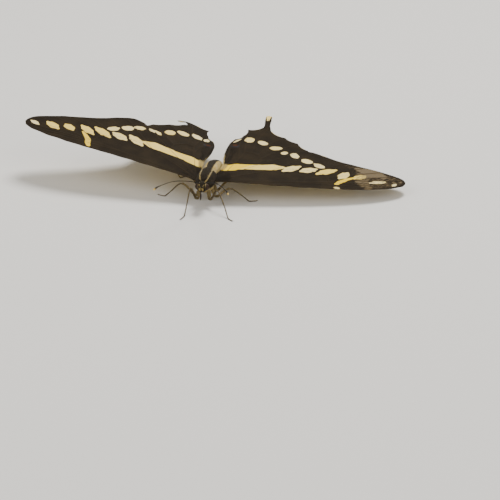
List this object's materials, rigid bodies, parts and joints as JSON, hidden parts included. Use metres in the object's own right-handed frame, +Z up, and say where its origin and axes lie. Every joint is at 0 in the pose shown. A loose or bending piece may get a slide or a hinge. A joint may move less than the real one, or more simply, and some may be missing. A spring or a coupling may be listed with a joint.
{
  "type": "western giant swallowtail butterfly",
  "caption": "Life-size swallowtail butterfly standing with its wings spread nearly flat, with veined wings, tails, clubbed feelers and jointed-looking legs.",
  "frame": {"origin": "on the floor, under the middle of the butterfly's box", "axes": "+Z up, -Y towards the head, +X towards the butterfly's own left wing"},
  "size_m": [0.132, 0.091, 0.019],
  "materials": {
    "wing": "velvety scales",
    "thorax": "short dark hair",
    "abdomen": "short yellow hair with a dark back",
    "head": "short dark hair",
    "eye": "glossy",
    "leg": "fine scales",
    "antenna": "satin",
    "palp": "short pale hair",
    "proboscis": "satin"
  },
  "bodies": {
    "root": {"head": "head", "thorax": "thorax", "abdomen": "abdomen", "eye_left": "eye", "eye_right": "eye", "palp_left": "palp", "palp_right": "palp", "proboscis": "proboscis", "antenna_left": "antenna", "antenna_right": "antenna", "forewing_left": "wing", "forewing_right": "wing", "hindwing_left": "wing", "hindwing_right": "wing", "leg_fore_left": "leg", "leg_fore_right": "leg", "leg_mid_left": "leg", "leg_mid_right": "leg", "leg_hind_left": "leg", "leg_hind_right": "leg"}
  },
  "joints": []
}
